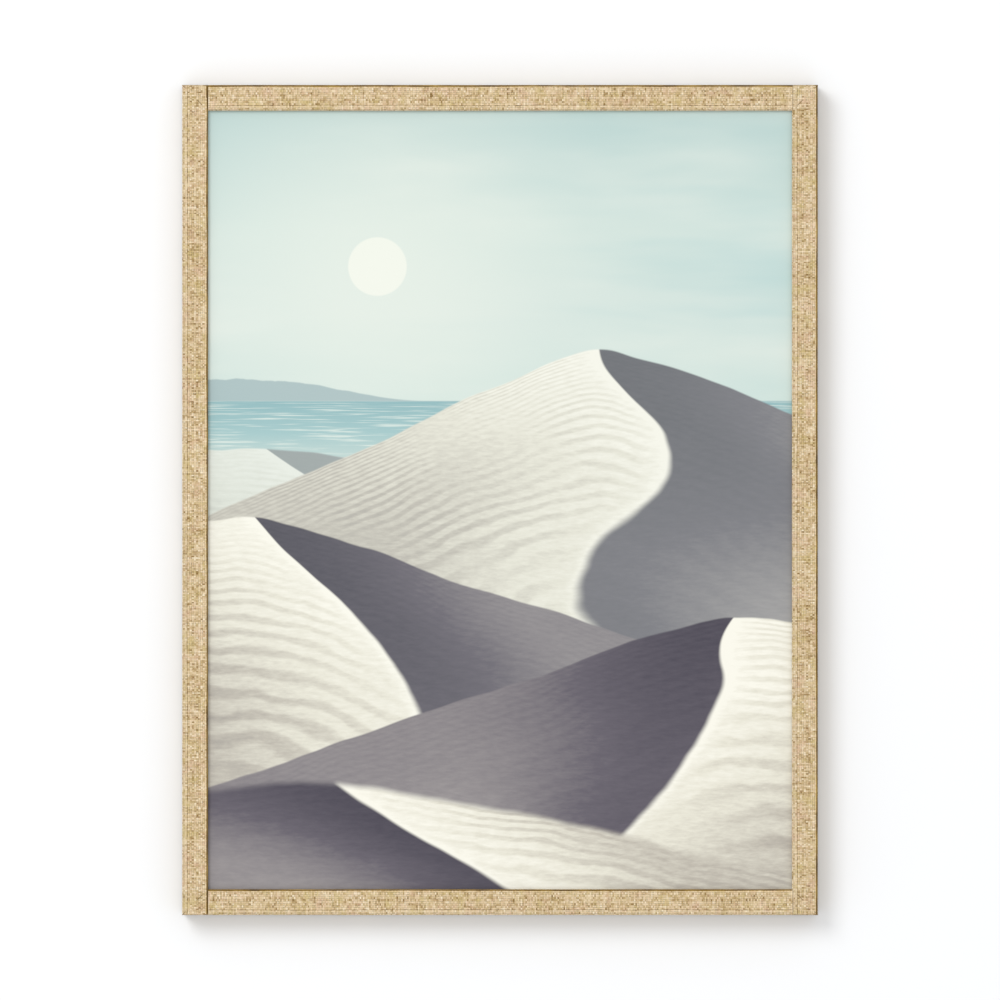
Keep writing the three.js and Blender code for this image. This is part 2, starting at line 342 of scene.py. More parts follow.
def flap(end, turned, seed):
    """The cloth folded over one end of a stile: a woven band across it, from the face to the back.

    It narrows with the arrises at the face, and its fold is a quarter circle of one cloth's thickness.
    """
    s, depth, height, uv = woven_grid(-FACE_WIDTH / 2, FACE_WIDTH / 2, DEPTH, turned, seed)
    depth = depth + DEPTH / 2
    across = FACE_WIDTH / 2 + s * (1 - 2 * rounding(depth, ARRIS_RADIUS) / FACE_WIDTH)
    underside = STILE_LENGTH / 2 - CLOTH_THICKNESS
    level = STILE_LENGTH / 2 + height - rounding(depth, CLOTH_THICKNESS)
    level = np.maximum(level, underside + GLUE)
    outside = np.stack([across, depth, end * level], axis=-1)
    inside = outside[:, [-1, 0]].copy()
    inside[..., 2] = end * underside
    if end > 0:
        outside, inside, uv = outside[::-1], inside[::-1], uv[::-1]
    return band(outside, inside, uv)


def joined(bands):
    """Several bands as one set of points, faces and thread coordinates."""
    starts = np.cumsum([0] + [len(points) for points, _, _ in bands])
    points = np.concatenate([points for points, _, _ in bands])
    uv = np.concatenate([uv for _, _, uv in bands])
    numbered = zip(bands, starts.tolist())
    faces = [[i + start for i in face] for (_, faces, _), start in numbered for face in faces]
    return points, faces, uv


print("a flap is", round(FACE_WIDTH * 1000, 1), "by", round(DEPTH * 1000, 1), "mm")

# %% Place the four strips
HALF_WIDTH, HALF_HEIGHT = SIGHT_WIDTH / 2, SIGHT_HEIGHT / 2

# Each member's directions across and along it, where across begins, and how its strip is laid
MEMBERS = {
    "left_stile": dict(
        across=(-1, 0, 0), along=(0, 0, -1), start=(-HALF_WIDTH, 0, 0), turned=True, lapped=0,
    ),
    "right_stile": dict(
        across=(1, 0, 0), along=(0, 0, 1), start=(HALF_WIDTH, 0, 0), turned=False, lapped=0,
    ),
    "top_rail": dict(
        across=(0, 0, 1), along=(-1, 0, 0), start=(0, 0, HALF_HEIGHT), turned=False, lapped=-1,
    ),
    "bottom_rail": dict(
        across=(0, 0, -1), along=(1, 0, 0), start=(0, 0, -HALF_HEIGHT), turned=True, lapped=1,
    ),
}
THREADS_APART = 1000  # an even number between the members' thread counts, so that no two look alike
linens = {}
for number, (name, member) in enumerate(MEMBERS.items()):
    is_stile = name.endswith("stile")
    length = STILE_LENGTH - 2 * CLOTH_THICKNESS if is_stile else RAIL_LENGTH
    turned = member["turned"]
    seed = 100 * (number + 1)
    bands = [strip(length, turned, member["lapped"], seed)]
    if is_stile:
        bands += [flap(end, turned, seed + 10 * (2 + end)) for end in (-1, 1)]
    local, faces, uv = joined(bands)
    axes = np.array([member["across"], (0, 1, 0), member["along"]])
    origin = np.array(member["start"]) + [0, FRONT_Y, CENTRE_Z]
    uv[:, 1] += number * THREADS_APART
    cloth = mesh_object(f"{name}_cloth", local @ axes + origin, faces, uv)
    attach(cloth, "root")
    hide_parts(f"{name}_linen")
    ends = 2 * DEPTH if is_stile else 0
    cut = (GIRTH, length + ends)
    cut_area = GIRTH * length + ends * FACE_WIDTH
    linens[name] = cloth
    print(cloth.name, len(cloth.data.polygons), "faces,", [round(x * 1000, 1) for x in cut], "mm cut")

# %% [markdown]
# ## Drawing with numbers
#
# The finishes below are drawn by shader nodes, and most of them are sums: a band here, a stripe there,
# faded by a noise. Written node by node that fills pages, so this small class lets a socket be used as a
# number in a formula. Each +, -, * or / adds a Math node. The helpers after it make the nodes that every
# finish needs: colours, textures, coordinates and the shader itself.

# %% Numbers as formulas


class Field:
    """A number that changes over a surface, as a node's output socket that formulas can use."""

    def __init__(self, tree, socket):
        self.tree = tree
        self.socket = socket

    def math(self, operation, *others):
        """A Math node on this number and the others."""
        node = self.tree.nodes.new("ShaderNodeMath")
        node.operation = operation
        for slot, value in zip(node.inputs, (self, *others)):
            connect(self.tree, value, slot)
        return Field(self.tree, node.outputs[0])

    def __add__(self, other):
        return self.math("ADD", other)

    def __radd__(self, other):
        return self.math("ADD", other)

    def __sub__(self, other):
        return self.math("SUBTRACT", other)

    def __rsub__(self, other):
        return self.math("MULTIPLY", -1.0).math("ADD", other)

    def __mul__(self, other):
        return self.math("MULTIPLY", other)

    def __truediv__(self, other):
        return self.math("DIVIDE", other)

    def between(self, low, high, out_low=0.0, out_high=1.0):
        """out_low where this is low, out_high where it is high, and a smooth curve between."""
        node = self.tree.nodes.new("ShaderNodeMapRange")
        node.interpolation_type = "SMOOTHSTEP"
        for slot, value in zip(node.inputs, (self, low, high, out_low, out_high)):
            connect(self.tree, value, slot)
        return Field(self.tree, node.outputs["Result"])


def connect(tree, value, slot):
    """Puts a number or a colour into a socket, or a link from a field."""
    if isinstance(value, Field):
        tree.links.new(value.socket, slot)
    else:
        slot.default_value = value


# %% Colours
LIGHT_LEVEL = 1.18  # about how bright the lamps show a perfect white, where the screen's white is 1


def srgb(red, green, blue):
    """The shader's linear colour for a finish that shall look like this screen colour, 0 to 255."""
    screen = np.array([red, green, blue]) / 255
    linear = np.where(screen <= 0.04045, screen / 12.92, ((screen + 0.055) / 1.055) ** 2.4)
    return (*(linear / LIGHT_LEVEL).tolist(), 1.0)


def blend_colours(tree, amount, base, top):
    """base where amount is 0 and top where it is 1. Both are colours or fields of colour."""
    node = tree.nodes.new("ShaderNodeMix")
    node.data_type = "RGBA"
    for slot, value in zip((node.inputs[0], node.inputs[6], node.inputs[7]), (amount, base, top)):
        connect(tree, value, slot)
    return Field(tree, node.outputs[2])


def ramp(tree, amount, stops):
    """A colour that runs through the stops, each a place from 0 to 1 and a screen colour."""
    node = tree.nodes.new("ShaderNodeValToRGB")
    elements = node.color_ramp.elements
    while len(elements) < len(stops):
        elements.new(0.5)
    for element, (place, colour) in zip(elements, stops):
        element.position = place
        element.color = srgb(*colour)
    connect(tree, amount, node.inputs[0])
    return Field(tree, node.outputs["Color"])


def scaled(tree, colour, amount):
    """A colour made darker or brighter by a number."""
    node = tree.nodes.new("ShaderNodeVectorMath")
    node.operation = "SCALE"
    connect(tree, colour, node.inputs[0])
    connect(tree, amount, node.inputs["Scale"])
    return Field(tree, node.outputs[0])


print("a white finish is", [round(part, 3) for part in srgb(255, 255, 255)])

# %% Textures and coordinates


def point_at(tree, x, y, z=0.0):
    """Three numbers as the place that a texture is read at."""
    node = tree.nodes.new("ShaderNodeCombineXYZ")
    for slot, value in zip(node.inputs, (x, y, z)):
        connect(tree, value, slot)
    return Field(tree, node.outputs[0])


def noise(tree, place, detail=2.0, roughness=0.5):
    """Cloudy noise, about 0.5 on average, that changes over about one of the place's units."""
    node = tree.nodes.new("ShaderNodeTexNoise")
    node.inputs["Scale"].default_value = 1.0
    node.inputs["Detail"].default_value = detail
    node.inputs["Roughness"].default_value = roughness
    connect(tree, place, node.inputs["Vector"])
    return Field(tree, node.outputs["Fac"])


def random_number(tree, number):
    """A random number from 0 to 1 that belongs to a whole number."""
    node = tree.nodes.new("ShaderNodeTexWhiteNoise")
    node.noise_dimensions = "1D"
    connect(tree, number, node.inputs["W"])
    return Field(tree, node.outputs["Value"])


def random_numbers(tree, place):
    """Three random numbers from 0 to 1 that belong to a place with whole-number coordinates."""
    node = tree.nodes.new("ShaderNodeTexWhiteNoise")
    connect(tree, place, node.inputs["Vector"])
    return parts_of(tree, node.outputs["Color"])


def parts_of(tree, socket):
    """The three numbers of a vector or colour."""
    node = tree.nodes.new("ShaderNodeSeparateXYZ")
    tree.links.new(socket, node.inputs[0])
    return [Field(tree, part) for part in node.outputs]


def coordinates(tree, output):
    """The three numbers of a texture coordinate, such as Object or UV."""
    return parts_of(tree, tree.nodes.new("ShaderNodeTexCoord").outputs[output])


# %% Finishes


def new_finish(name, roughness, **sockets):
    """A material with one Principled shader, and its node tree."""
    material = bpy.data.materials.new(name)
    material.use_nodes = True
    tree = material.node_tree
    shader = tree.nodes["Principled BSDF"]
    connect(tree, roughness, shader.inputs["Roughness"])
    for socket, value in sockets.items():
        shader.inputs[socket.replace("_", " ")].default_value = value
    return material, tree, shader


def add_bump(tree, shader, height, distance):
    """Small relief from a height field, where a value of 1 is as high as the distance, in metres."""
    node = tree.nodes.new("ShaderNodeBump")
    node.inputs["Distance"].default_value = distance
    connect(tree, height, node.inputs["Height"])
    tree.links.new(node.outputs[0], shader.inputs["Normal"])


def dress(names, material):
    """Gives the named nodes a material in place of their own."""
    for name in names:
        nodes[name].data.materials.clear()
        nodes[name].data.materials.append(material)
    print(material.name, "on", len(names), "nodes")


# %% [markdown]
# ## Linen
#
# The cloth's UV map counts threads, so the material knows which thread it is on and whether that thread is
# over or under. Every thread has its own shade, which also drifts along it, and the gaps between threads,
# the flanks of the threads and the far arris are darkened by painted shade. Undyed flax is never of one
# colour, so cloudy patches make the cloth paler, pinker or more like straw. An image of cloth would repeat,
# and it couldn't follow the modelled threads.

# %% Thread colours
WARP_SHADES = 90  # the first of the random numbers that the warp threads take their shades from
FAR_EDGE = -5.3  # where the cloth turns over the arris without a stain, in threads from the face's middle


def threads(tree, u, v):
    """The woven colour, its painted shade in the gaps and on the far arris, the offset from the middle of
    the top thread, and the fibres.

    A thread's tone is its own random shade, plus a noise that drifts along it, plus a chance number for
    each crossing, plus noises for the fibres, the mottling and the clouds. A ramp makes it a colour.
    """
    warp, weft = (u + 0.5).math("FLOOR"), (v + 0.5).math("FLOOR")
    off_warp, off_weft = (u - warp).math("ABSOLUTE"), (v - weft).math("ABSOLUTE")
    weft_on_top = (warp + weft).math("MODULO", 2.0).math("ABSOLUTE").math("GREATER_THAN", 0.5)
    warp_on_top = 1.0 - weft_on_top

    warp_drift = noise(tree, point_at(tree, warp * 3.7, v * 0.25))
    weft_drift = noise(tree, point_at(tree, u * 0.4, weft * 3.7))
    warp_shade = random_number(tree, warp + WARP_SHADES) * 0.32 + warp_drift * 1.7
    weft_shade = random_number(tree, weft + 0.5) * 0.36 + weft_drift * 1.7
    crossing, looseness, hue = random_numbers(tree, point_at(tree, warp, weft))
    shade = warp_shade * warp_on_top + weft_shade * weft_on_top + crossing * 0.36 - 0.69

    # Painted shade on the flanks of the thread on top, where it dips, in the hole beside the crossing, and
    # on the far arris
    flank = off_warp * warp_on_top + off_weft * weft_on_top
    dip = off_weft * warp_on_top + off_warp * weft_on_top
    hole = off_warp.math("MINIMUM", off_weft).between(0.25, 0.46)
    loose = looseness * looseness * looseness
    arris_shade = (u - FAR_EDGE).math("ABSOLUTE").between(0.2, 0.55, 1.0, 0.0)
    painted_shade = 1.0 - flank.between(0.15, 0.5) * (loose * 0.4 + 0.04) - dip.between(0.2, 0.5) * 0.06
    painted_shade = painted_shade - hole * (loose * 0.6 + 0.06) - arris_shade * 0.09

    # Fibres along the threads, and patches that are larger than a thread
    fibre = noise(tree, point_at(tree, u * 9.0, v * 2.0), detail=3.0)
    fibre = fibre * warp_on_top + noise(tree, point_at(tree, u * 2.0, v * 9.0), detail=3.0) * weft_on_top
    mottle = noise(tree, point_at(tree, u * 0.06, v * 0.016), detail=2.0) - 0.5
    cloud = noise(tree, point_at(tree, u * 0.2, v * 0.14, 2.0), detail=2.0) - 0.5
    tone = shade + (fibre - 0.5) * 0.4 + mottle * 0.3 + cloud * 0.45 - 0.015
    colour = ramp(tree, tone, [
        (0.0, (150, 119, 67)), (0.3, (205, 177, 130)), (0.5, (226, 201, 160)),
        (0.75, (242, 220, 183)), (1.0, (254, 239, 210)),
    ])
    patch = noise(tree, point_at(tree, u * 0.12, v * 0.09)) * 0.6 + hue * 0.1
    patch = patch + noise(tree, point_at(tree, u * 0.36, v * 0.25, 4.0)) * 0.3
    colour = blend_colours(tree, patch.between(0.51, 0.66) * 0.5, colour, srgb(230, 192, 163))
    colour = blend_colours(tree, patch.between(0.49, 0.34) * 0.6, colour, srgb(215, 193, 131))
    return colour, painted_shade, flank, fibre


# %% [markdown]
# ## Lines along the cloth, marks, and painted shade
#
# The strip has one stained, rubbed edge, which shows as a thin brown line along each member, and it has the
# wide gap of the reed, painted dark as shade. Each corner has a short crease along its mitre and a nick at
# its tip, and the fold over a stile's end is painted a little darker, as shade. All of these are bands in a
# coordinate, faded by a noise, so that they are laid over the threads' colour one after the other.

# %% Lines along the cloth
STAIN_START = 5.05  # in threads from the middle of the face, just before the arris
STAIN_END = 7.2
STAIN_RETREAT = 0.22  # how much later it starts on an inner arris
PALE_LINE = 4.9  # the paler line just before the stain


def edge_lines(tree, u, v, on_inner_half, colour):
    """The reed's gap with painted shade in it and the paler thread beside it, then the stain with a ragged
    and nicked border.
    """
    # The reed's gap is painted dark, as the shade in it
    broken = noise(tree, point_at(tree, v * 0.3, 7.0), detail=3.0).between(0.4, 0.6, 0.1, 1.0)
    gap = (u - REED_GAP).math("ABSOLUTE").between(0.08, 0.22, 1.0, 0.0) * broken
    beside = (u - (REED_GAP - 0.75)).math("ABSOLUTE").between(0.2, 0.55, 1.0, 0.0)
    colour = blend_colours(tree, beside * 0.35, colour, srgb(242, 222, 186))
    colour = blend_colours(tree, gap * 0.7, colour, srgb(134, 104, 58))

    pale = (u - PALE_LINE).math("ABSOLUTE").between(0.1, 0.4, 1.0, 0.0)
    colour = blend_colours(tree, pale * 0.4, colour, srgb(246, 218, 170))
    ragged = noise(tree, point_at(tree, v * 0.64, 3.0), detail=2.0) - 0.5
    nick = noise(tree, point_at(tree, v * 0.25, 11.0), detail=1.0).between(0.68, 0.76)
    stain_start = on_inner_half * STAIN_RETREAT + STAIN_START - ragged * 0.4 - nick * 0.35
    stain = (u - stain_start).between(-0.08, 0.1) * u.between(STAIN_END, STAIN_END + 0.4, 1.0, 0.0)
    stain_colour = ramp(tree, noise(tree, point_at(tree, u * 0.7, v * 0.06, 6.0), detail=4.0), [
        (0.34, (86, 60, 10)), (0.5, (134, 102, 35)), (0.66, (176, 143, 62)),
    ])
    return blend_colours(tree, stain * 0.95, colour, stain_colour)


print("the stain is", round((STAIN_END - STAIN_START) * WARP_PITCH * 1000, 1), "mm wide")

# %% Creases and painted shade on the stiles' ends
CREASE_WIDTH = 0.0006
CREASE_START, CREASE_END = 0.0042, 0.0088  # outwards from the corner of the opening
CORNER_START = FACE_WIDTH - 0.003  # the nick reaches from here to the tip of the frame's corner
# The width of the painted shade on the fold over a stile's end; the marks on the face also stop this far
# behind it
FOLD_BAND = 0.0009


def corner_marks_and_shade(tree, x, y, past_x, past_z, colour):
    """A crease on each mitre, a nick at its tip, and painted shade on the fold over a stile's end, on the
    face only.

    past_x and past_z are the distances outwards from the opening. On a mitre they are the same.
    """
    crease = past_x.between(CREASE_START, CREASE_START + CREASE_WIDTH)
    crease = crease * past_x.between(CREASE_END - CREASE_WIDTH, CREASE_END, 1.0, 0.0)
    crease = crease.math("MAXIMUM", past_x.between(CORNER_START, CORNER_START + CREASE_WIDTH))
    off_mitre = (past_x - past_z).math("ABSOLUTE")
    crease = crease * off_mitre.between(0.3 * CREASE_WIDTH, CREASE_WIDTH, 1.0, 0.0)
    # Painted shade on the fold over a stile's end, broken by a noise
    end_fold_shade = past_z.between(FACE_WIDTH - 1.5 * FOLD_BAND, FACE_WIDTH - 0.5 * FOLD_BAND)
    end_fold_shade = end_fold_shade * noise(tree, point_at(tree, x * 400.0, 5.0), detail=2.0).between(0.35, 0.6, 0.2, 0.8)
    end_fold_shade = end_fold_shade * past_x.math("GREATER_THAN", 0.0)
    on_front = y.between(FRONT_Y + FOLD_BAND, FRONT_Y + 2 * FOLD_BAND, 1.0, 0.0)
    # One colour for the crease marks and for the painted shade on the fold
    marks_and_shade = crease.math("MAXIMUM", end_fold_shade * 0.7) * on_front
    return blend_colours(tree, marks_and_shade * 0.8, colour, srgb(112, 88, 48))


print("a crease is", round((CREASE_END - CREASE_START) * math.sqrt(2) * 1000, 1), "mm long")

# %% Linen


def linen():
    """The threads, then the lines along the strip, then the marks and painted shade at the corners, as one
    colour.
    """
    material, tree, shader = new_finish("linen", 0.95, Sheen_Weight=0.15, Specular_IOR_Level=0.15)
    u, v, _ = coordinates(tree, "UV")
    x, y, z = coordinates(tree, "Object")
    past_x = x.math("ABSOLUTE") - HALF_WIDTH
    past_z = (z - CENTRE_Z).math("ABSOLUTE") - HALF_HEIGHT
    on_inner_half = past_x.math("MAXIMUM", past_z).math("LESS_THAN", FACE_WIDTH / 2)
    colour, painted_shade, flank, fibre = threads(tree, u, v)
    colour = edge_lines(tree, u, v, on_inner_half, colour)
    colour = corner_marks_and_shade(tree, x, y, past_x, past_z, colour)
    tree.links.new(scaled(tree, colour, painted_shade).socket, shader.inputs["Base Color"])
    crown = 1.0 - flank * flank * 4.0
    add_bump(tree, shader, crown * 0.6 + fibre * 0.4, 0.0003)
    return material


linen_finish = linen()
for cloth in linens.values():
    cloth.data.materials.append(linen_finish)
print(linen_finish.name, "with", len(linen_finish.node_tree.nodes), "nodes")

# %% [markdown]
# ## The picture
#
# The print shows a generic view: a veiled sun over a quiet shore, with wind-rippled dunes in front. A photo
# texture would tie the part to an image file, so the picture is a formula. It is painted from far to near,
# as a painter works: sky, sea, headland, then one dune over the other. Lengths are in picture widths, with
# x to the right and y up from the middle of the picture.

# %% Sky and sea
HORIZON = 0.17
SHORE = 0.06
PICTURE_TOP = SIGHT_HEIGHT / SIGHT_WIDTH / 2
SUN = (-0.21, 0.40)
SUN_RADIUS = 0.052
HEADLAND_END = -0.12
HEADLAND_HEIGHT = 0.035


def sky(tree, x, y):
    """A pale gradient from the horizon up, broad streaks that lie almost level, and a sun behind haze."""
    height = (y - HORIZON) / (PICTURE_TOP - HORIZON)
    colour = ramp(tree, height, [
        (0.0, (202, 221, 215)), (0.3, (208, 223, 217)), (0.6, (202, 220, 214)), (1.0, (184, 208, 205)),
    ])
    cream = noise(tree, point_at(tree, x * 1.1 + 3.0, y * 4.5), detail=4.0).between(0.44, 0.72)
    colour = blend_colours(tree, cream * 0.75, colour, srgb(224, 232, 224))
    teal = noise(tree, point_at(tree, x * 0.9 - 7.0, y * 6.0 + 2.0), detail=4.0).between(0.5, 0.75)
    colour = blend_colours(tree, teal * 0.6, colour, srgb(172, 206, 206))
    sun_x, sun_y = x - SUN[0], y - SUN[1]
    from_sun = (sun_x * sun_x + sun_y * sun_y).math("SQRT")
    glow = from_sun.between(0.0, 0.5, 0.4, 0.0)
    disc = from_sun.between(SUN_RADIUS - 0.004, SUN_RADIUS + 0.003, 0.75, 0.0) * (1.0 - teal * 0.6)
    return blend_colours(tree, glow.math("MAXIMUM", disc), colour, srgb(246, 246, 234))


def sea(tree, x, y, colour):
    """A level band under the horizon, with bright ripples that widen towards the shore, and a headland."""
    below = HORIZON - y
    inside = below.between(-0.001, 0.002)
    water = ramp(tree, below / (HORIZON - SHORE), [
        (0.0, (144, 183, 187)), (0.5, (163, 197, 198)), (1.0, (198, 216, 210)),
    ])
    ripple = (below + 0.02).math("LOGARITHM", math.e) * 16.0
    glint = noise(tree, point_at(tree, x * 9.0, ripple), detail=3.0)
    water = blend_colours(tree, glint.between(0.5, 0.68) * 0.7, water, srgb(226, 235, 227))
    colour = blend_colours(tree, inside, colour, water)
    rise = (HEADLAND_END - x).between(0.0, 0.3) * HEADLAND_HEIGHT
    uneven = noise(tree, point_at(tree, x * 14.0, 1.0), detail=4.0) - 0.4
    land_top = rise + uneven * rise * 0.6 + HORIZON
    land = (land_top - y).between(-0.001, 0.002) * (1.0 - inside)
    return blend_colours(tree, land * 0.8, colour, srgb(158, 180, 183))


print("the sun is", round(2 * SUN_RADIUS * SIGHT_WIDTH * 1000), "mm across")

# %% [markdown]
# ## Dunes
#
# A dune is a hump with a soft top, parted by a winding crest into a lit side and a shaded side. Wind
# ripples lie closer together towards the top, because they are further away there, so their phase is the
# logarithm of the distance below the top. The sand's grain and its unevenness are the same noises for all
# the dunes.

# %% Dunes
TOP_ROUNDING = 0.04


def sand(tree, x, y):
    """The sand's own noises: its streaked grain, how its ripples bend, and where they are strong."""
    grain = noise(tree, point_at(tree, x * 45.0, y * 170.0), detail=4.0, roughness=0.65) - 0.5
    bend = noise(tree, point_at(tree, x * 4.0, y * 7.0), detail=3.0)
    strong = noise(tree, point_at(tree, x * 3.5, y * 6.0 + 5.0), detail=3.0)
    return grain, bend, strong


def dune(tree, x, y, sand_noise, colour, top, falls, crest, ripples, haze, soft=0.002):
    """One dune over what is behind it.

    Its outline falls from the top by falls[0] to the left and falls[1] to the right, and is rounded at
    the top. Its crest winds down from the top: drift * drop + sway * sin(turns * drop). The ripples are
    troughs of a sine whose phase is ripples * log(drop), bent by a noise.
    """
    grain, bend, strong = sand_noise
    top_x, top_y = top
    drift, sway, turns, lit_side = crest
    offset = x - top_x
    fall = falls[0] + offset.between(-TOP_ROUNDING, TOP_ROUNDING) * (falls[1] - falls[0])
    rounded = (offset * offset + TOP_ROUNDING**2).math("SQRT") - TOP_ROUNDING
    rolling = noise(tree, point_at(tree, x * 3.0, top_y * 40.0), detail=3.0) - 0.5
    outline = top_y - fall * rounded + rolling * 0.05
    inside = (outline - y).between(-soft, soft)
    drop = (outline - y).math("MAXIMUM", 0.0)
    winding = (drop * turns).math("SINE") * sway * drop.between(0.0, 0.12) + drop * drift
    from_crest = (offset - winding + (bend - 0.5) * drop * 0.15) * lit_side
    crispness = drop * 0.03 + soft
    lit = from_crest.between(crispness * -1.0, crispness)

    phase = (drop + 0.05).math("LOGARITHM", math.e) * ripples + bend * 18.0 + from_crest * (ripples * 0.2)
    trough = phase.math("SINE").between(-0.9, 0.5, 1.0, 0.0)
    rippled = trough * strong.between(0.3, 0.6) * from_crest.between(0.0, 0.08)
    light = from_crest.between(0.0, 0.6, 0.97, 0.62) - drop.between(0.0, 0.4, 0.0, 0.12)
    light = light + (strong - 0.5) * 0.25 - rippled * 0.15 + grain * 0.35
    light = light + from_crest.between(0.004, 0.03, 0.1, 0.0)
    sunny = ramp(tree, light, [
        (0.0, (84, 80, 88)), (0.3, (146, 139, 135)), (0.55, (190, 184, 172)), (0.8, (229, 226, 211)),
        (1.0, (247, 245, 233)),
    ])
    dark = from_crest.between(-0.5, 0.0, 0.75, 0.16) + drop.between(0.0, 0.35, 0.0, 0.25)
    dark = dark + (strong - 0.5) * 0.2 + grain * 0.25 - trough * strong * 0.05
    shady = ramp(tree, dark, [(0.0, (58, 55, 69)), (0.45, (101, 96, 106)), (1.0, (163, 158, 157))])
    face = blend_colours(tree, lit, shady, sunny)
    face = blend_colours(tree, haze, face, srgb(203, 216, 211)) if haze else face
    return blend_colours(tree, inside, colour, face)


print("a dune's top is rounded over", round(TOP_ROUNDING * SIGHT_WIDTH * 1000), "mm to each side")

# %% The whole view
DUNES = [
    dict(top=(-0.40, 0.085), falls=(0.02, 0.10), crest=(1.6, 0.03, 9.0, -1.0), ripples=60.0, haze=0.5),
    dict(top=(0.17, 0.26), falls=(0.46, 0.38), crest=(0.15, 0.10, 11.0, -1.0), ripples=66.0, haze=0.16),
    dict(top=(-0.42, -0.03), falls=(0.10, 0.34), crest=(0.9, 0.07, 9.0, -1.0), ripples=54.0, haze=0.05),
    dict(top=(0.40, -0.20), falls=(0.34, 0.10), crest=(-0.7, 0.08, 8.0, 1.0), ripples=46.0, haze=0.0),
    dict(
        top=(-0.28, -0.48), falls=(0.08, 0.22), crest=(1.6, 0.10, 7.0, 1.0), ripples=32.0, haze=0.0,
        soft=0.008,
    ),
]


def picture():
    """The view from far to near, on matt paper with a little tooth."""
    material, tree, shader = new_finish("picture", 0.62, Specular_IOR_Level=0.25)
    place_x, _, place_z = coordinates(tree, "Object")
    x = place_x / SIGHT_WIDTH
    y = (place_z - CENTRE_Z) / SIGHT_WIDTH
    grains = sand(tree, x, y)
    colour = sea(tree, x, y, sky(tree, x, y))
    for shape in DUNES:
        colour = dune(tree, x, y, grains, colour, **shape)
    tree.links.new(colour.socket, shader.inputs["Base Color"])
    tooth = noise(tree, point_at(tree, x * 900.0, y * 900.0), detail=2.0)
    add_bump(tree, shader, tooth, 0.00003)
    print(material.name, "with", len(tree.nodes), "nodes")
    return material


dress(["print"], picture())

# %% [markdown]
# ## Bare pine
#
# The wood shows only from behind, planed and left bare. A pine log is a bundle of cones of yearly growth,
# each pale at first and darker towards its end, and a batten shows them as long lines. The distance from
# the log's heart, counted in years, gives the lines: its fraction runs from the pale start of a year to its
# dark end. The grain runs up a stile and across a rail.

# %% Pine
YEAR = 0.0024
HEART_DEPTH = 0.05  # the log's heart lies this far behind the wall


def pine(name, along):
    """Yearly rings about a heart line, a slow wave along the grain, pores and a faint planed relief.

    A ring's number is the distance from the heart, sqrt(across^2 + depth^2) / YEAR, plus a noise.
    """
    material, tree, shader = new_finish(name, 0.72, Specular_IOR_Level=0.3)
    x, y, z = coordinates(tree, "Object")
    length, across = (x, z) if along == "x" else (z, x)
    depth = y - HEART_DEPTH
    from_heart = (across * across + depth * depth).math("SQRT")
    sway = noise(tree, point_at(tree, length * 3.0, across * 12.0, y * 12.0), detail=2.0)
    year = (from_heart / YEAR + sway * 5.0).math("FRACT")
    late = year.between(0.25, 0.92) * year.between(0.94, 1.0, 1.0, 0.0)
    pores = noise(tree, point_at(tree, length * 40.0, across * 1900.0, y * 1900.0), detail=3.0)
    patch = noise(tree, point_at(tree, length * 5.0, across * 60.0, y * 60.0), detail=2.0)
    tone = late * 0.55 + (pores - 0.5) * 0.4 + (patch - 0.5) * 0.5 + 0.2
    colour = ramp(tree, tone, [
        (0.0, (236, 211, 170)), (0.3, (226, 196, 150)), (0.6, (207, 167, 115)), (0.9, (178, 131, 80)),
    ])
    tree.links.new(colour.socket, shader.inputs["Base Color"])
    add_bump(tree, shader, pores - late * 0.5, 0.0001)
    return material


dress(["left_stile", "right_stile"], pine("pine_upright", "z"))
dress(["top_rail", "bottom_rail"], pine("pine_level", "x"))

# %% [markdown]
# ## Hardboard
#
# The board's rough side faces out. It is pressed on a wire screen, so it has a fine square pattern over a
# felt of brown fibres. The screen is the product of two sine waves, and the felt is noise at two sizes.

# %% Hardboard
SCREEN_PITCH = 0.0016


def hardboard():
    """Brown felted fibres with the print of a wire screen."""
    material, tree, shader = new_finish("hardboard", 0.88, Specular_IOR_Level=0.2)
    x, _, z = coordinates(tree, "Object")
    turn = 2 * math.pi / SCREEN_PITCH
    screen = (x * turn).math("SINE") * (z * turn).math("SINE")
    felt = noise(tree, point_at(tree, x * 420.0, z * 420.0), detail=4.0, roughness=0.7)
    cloud = noise(tree, point_at(tree, x * 26.0, z * 26.0), detail=5.0, roughness=0.6)
    tone = felt * 0.75 + cloud * 0.25 + screen * 0.05
    colour = ramp(tree, tone, [(0.3, (104, 72, 47)), (0.5, (142, 104, 71)), (0.7, (178, 138, 99))])
    tree.links.new(colour.socket, shader.inputs["Base Color"])
    add_bump(tree, shader, screen * 0.5 + felt, 0.0002)
    return material


dress(["backing_board"], hardboard())

# %% [markdown]
# ## Turned bumpers and nail heads
#
# The bumpers and the nails are round, and the model has them with flat facets. A lathe makes them smooth:
# a profile, given as radius and place along the axis, is carried once round. A bumper's edge is a quarter
# circle and a nail's head half an ellipse, which catch the light as moulded rubber and struck steel do.

# %% Profiles
BUMPER_EDGE = 0.0011
BUMPER_TAPER = 0.94
NAIL_SHANK = 0.0008
NAIL_DOME = 0.0011


def bumper_profile(radius, back, front):
    """From the wood to the wall: a tapered side, an edge that is a quarter circle, and a flat end."""
    angle = np.linspace(0, math.pi / 2, 8)
    top = radius * BUMPER_TAPER - BUMPER_EDGE
    edge = BUMPER_EDGE * np.stack([np.cos(angle), np.sin(angle)], axis=-1) + [top, front - BUMPER_EDGE]
    return np.concatenate([[[0.5 * radius, back], [radius, back]], edge, [[0.5 * top, front]]])


